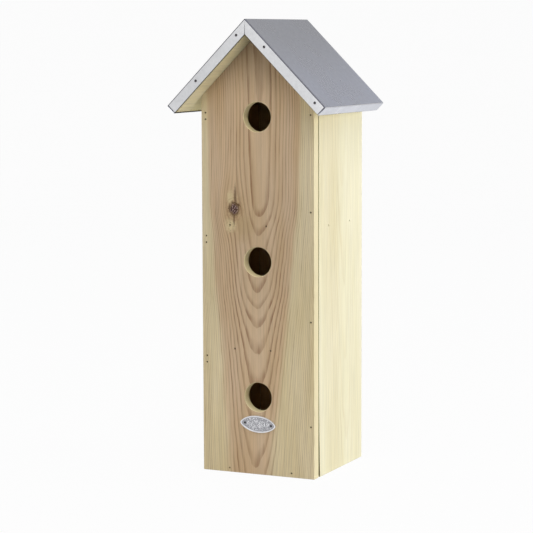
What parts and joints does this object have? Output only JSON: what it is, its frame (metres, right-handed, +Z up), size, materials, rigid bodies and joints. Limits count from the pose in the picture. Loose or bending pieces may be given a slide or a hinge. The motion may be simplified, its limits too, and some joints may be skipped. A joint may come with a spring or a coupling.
{
  "type": "three-story birdhouse",
  "caption": "Tall wooden birdhouse: stacked nest chambers behind a gabled front board with round entry holes, under a steep board roof with a folded zinc cover.",
  "frame": {"origin": "middle of the overall box at the level of the base's underside", "axes": "+Z up, -Y out of the front board with the entry holes, +X to the right of someone who faces the front"},
  "size_m": [0.1906, 0.1684, 0.508],
  "materials": {
    "front_board": "planed, untreated",
    "pale_board": "planed, untreated",
    "roof_board": "planed, untreated",
    "zinc_sheet": "matt zinc",
    "plate_metal": "satin, bare",
    "pin_steel": "dull",
    "brad_steel": "dull",
    "roof_nail_steel": "dull"
  },
  "bodies": {
    "root": {"front_wall": "front_board", "back_wall": "pale_board", "left_wall": "pale_board", "right_wall": "pale_board", "base_floor": "pale_board", "middle_floor": "pale_board", "upper_floor": "pale_board", "left_roof_board": "roof_board", "right_roof_board": "roof_board", "roof_sheet": "zinc_sheet", "oval_plate": "plate_metal", "plate_pins": "pin_steel", "front_left_brads": "brad_steel", "front_right_brads": "brad_steel", "front_base_brads": "brad_steel", "front_middle_floor_brads": "brad_steel", "front_upper_floor_brads": "brad_steel", "left_wall_brads": "brad_steel", "right_wall_brads": "brad_steel", "back_wall_brads": "brad_steel", "roof_front_nails": "roof_nail_steel", "roof_back_nails": "roof_nail_steel"}
  },
  "joints": []
}
